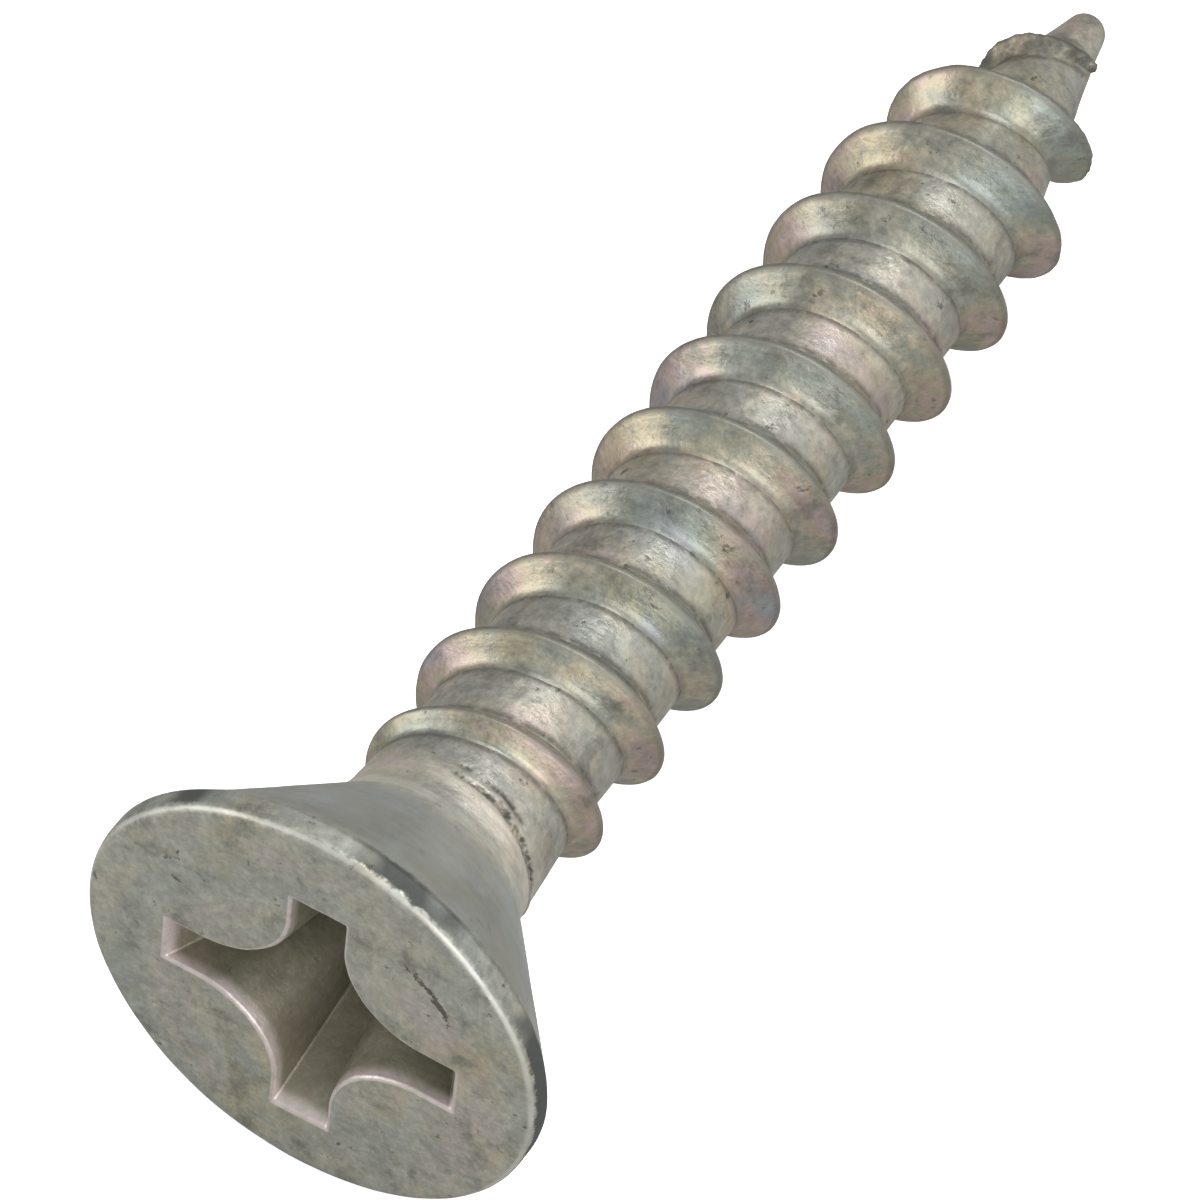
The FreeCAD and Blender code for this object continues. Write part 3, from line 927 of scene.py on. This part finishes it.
def makeFloor():
    p = paperFloor
    lean = math.atan2(body["headRadius"] - thread["radius"], p["crestY"] - p["rimY"])
    half = p["size"] / 2
    turn = Matrix.Rotation(lean, 4, "X")
    corners = [turn @ Vector((x * half, y * half, 0)) for x, y in ((-1, -1), (1, -1), (1, 1), (-1, 1))]
    drop = Vector((0, p["rimY"] * mm, -(body["headRadius"] + p["gap"]) * mm))
    mesh = bpy.data.meshes.new("paperFloor")
    mesh.from_pydata([corner + drop for corner in corners], [], [(0, 1, 2, 3)])
    floor = bpy.data.objects.new("paperFloor", mesh)
    bpy.context.scene.collection.objects.link(floor)
    paper = bpy.data.materials.new("palePaper")
    paper.use_nodes = True
    tree = paper.node_tree
    shader = tree.nodes["Principled BSDF"]
    shader.inputs["Roughness"].default_value = p["rough"]
    seen = tree.nodes.new("ShaderNodeLightPath").outputs["Is Camera Ray"]   # bright paper, quieter bounce
    join(tree, blend(tree, seen, p["bounce"], p["paper"]), shader.inputs["Base Color"])
    shader.inputs["Emission Color"].default_value = (1, 1, 1, 1)
    join(tree, times(tree, seen, p["glow"]), shader.inputs["Emission Strength"])
    mesh.materials.append(paper)


# Each softbox hangs about half a metre from the middle of the screw. Sizes in metres, powers in watts.
softboxes = {
    "keyLight": dict(towards=(0.80, 0.44, 0.22), size=0.42, power=0.44, colour=(1, 0.98, 0.95)),
    "topLight": dict(towards=(0.30, 0.16, 0.94), size=0.22, power=1.50, colour=(0.985, 0.985, 1)),
    "frontLight": dict(towards=(0.70, -0.62, 0.36), size=0.40, power=1.20, colour=(1, 0.99, 0.97)),
    "sideLight": dict(towards=(-0.80, -0.56, 0.24), size=0.30, power=0.75, colour=(1, 0.995, 0.985)),
}
softboxFar = 0.5


def makeSoftbox(name, box):
    lamp = bpy.data.lights.new(name, "AREA")
    lamp.shape = "DISK"
    lamp.size = box["size"]
    lamp.energy = box["power"]
    lamp.color = box["colour"]
    holder = bpy.data.objects.new(name, lamp)
    bpy.context.scene.collection.objects.link(holder)
    where = Vector(box["towards"]) * softboxFar
    holder.location = Vector((0, body["length"] / 2 * mm, 0)) + where
    holder.rotation_euler = (-where).to_track_quat("-Z", "Y").to_euler()


sky = dict(low=0.26, high=0.72, fromHeight=-0.1, toHeight=0.9, strength=0.70)


def makeSky():
    world = bpy.data.worlds.new("studioSky")
    bpy.context.scene.world = world
    world.use_nodes = True
    tree = world.node_tree
    back = tree.nodes["Background"]
    height = threeParts(tree, tree.nodes.new("ShaderNodeTexCoord").outputs["Generated"])[2]
    level = ruled(tree, height, sky["fromHeight"], sky["toHeight"], sky["low"], sky["high"])
    tree.links.new(vector(tree, level, level, level), back.inputs["Color"])
    back.inputs["Strength"].default_value = sky["strength"]


# Turns in degrees, distances in mm, clips in metres.
view = dict(azimuth=31.26, elevation=49.57, distance=346.8, aimY=16.344, aimRight=2.602, aimUp=2.403,
            lens=503.2, sensor=36, clips=(0.01, 20))


def makeCamera():
    v = view
    azimuth, elevation = math.radians(v["azimuth"]), math.radians(v["elevation"])
    flat = math.cos(elevation)
    right = Vector((math.cos(azimuth), math.sin(azimuth), 0))
    forward = Vector((-math.sin(azimuth) * flat, math.cos(azimuth) * flat, -math.sin(elevation)))
    up = right.cross(forward)
    spot = Vector((0, v["aimY"], 0)) - forward * v["distance"] - right * v["aimRight"] - up * v["aimUp"]
    lens = bpy.data.cameras.new("productCamera")
    lens.lens = v["lens"]
    lens.sensor_width = v["sensor"]
    lens.clip_start, lens.clip_end = v["clips"]
    camera = bpy.data.objects.new("productCamera", lens)
    bpy.context.scene.collection.objects.link(camera)
    camera.location = spot * mm
    camera.rotation_euler = forward.to_track_quat("-Z", "Y").to_euler()
    bpy.context.scene.camera = camera


makeFloor()
makeSky()
makeCamera()
for name, box in softboxes.items():
    makeSoftbox(name, box)
bpy.context.scene.view_settings.view_transform = "Standard"
print("stage, light and camera made")
